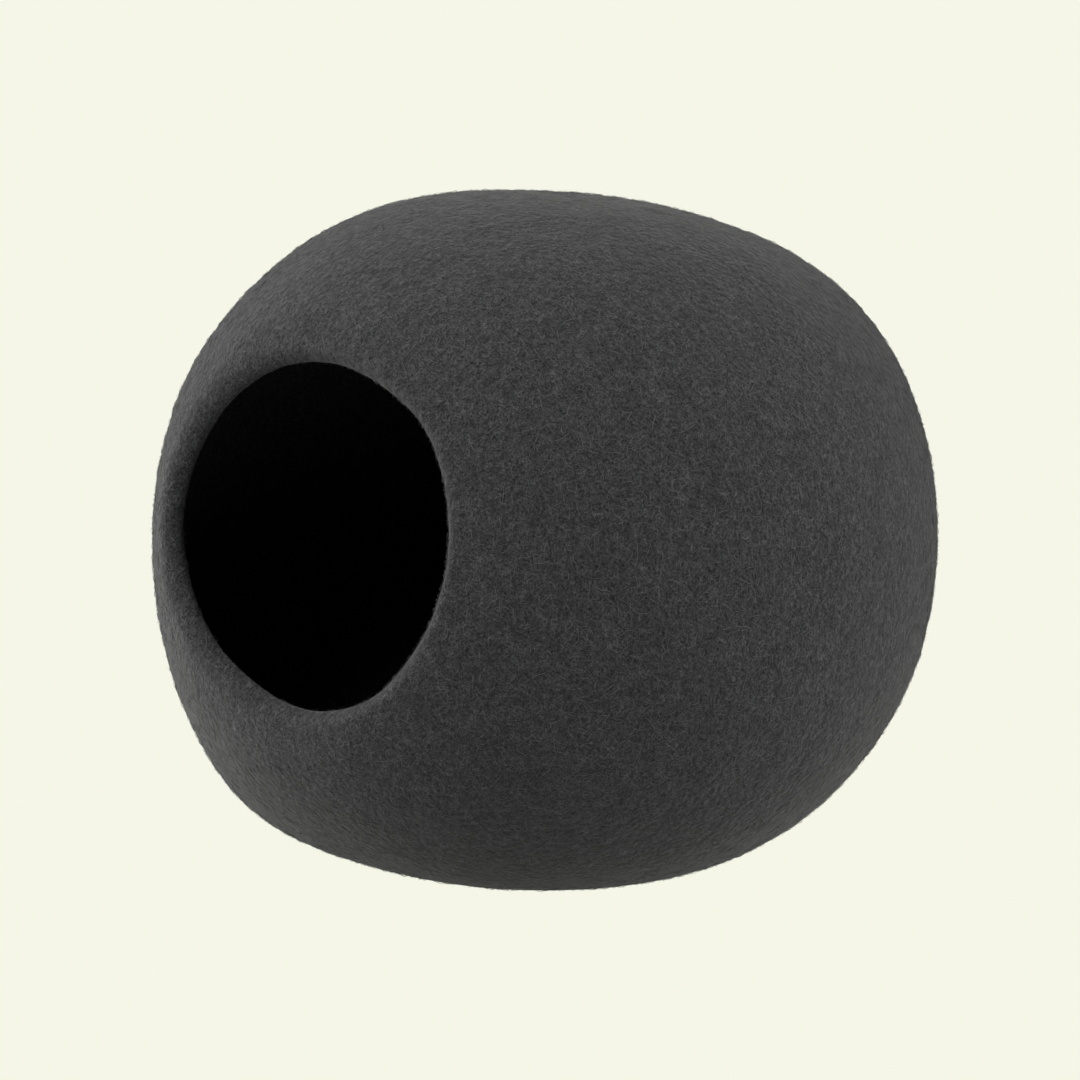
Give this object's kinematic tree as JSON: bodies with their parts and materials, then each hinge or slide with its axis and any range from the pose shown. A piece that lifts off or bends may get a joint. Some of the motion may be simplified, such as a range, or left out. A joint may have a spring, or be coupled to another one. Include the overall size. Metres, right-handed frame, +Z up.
{
  "type": "felt cat cave",
  "caption": "Seamless ball of thick wool felt, hollow, with a round way in at the front and a settled flat bottom, for a cat to sleep in.",
  "frame": {"origin": "on the floor, under the middle of the whole cave", "axes": "+Z up, the way in faces -Y, +X to the right seen from the front"},
  "size_m": [0.454, 0.4344, 0.3903],
  "materials": {
    "felt": "matt charcoal wool felt"
  },
  "bodies": {
    "root": {"felt_shell": "felt"}
  },
  "joints": []
}
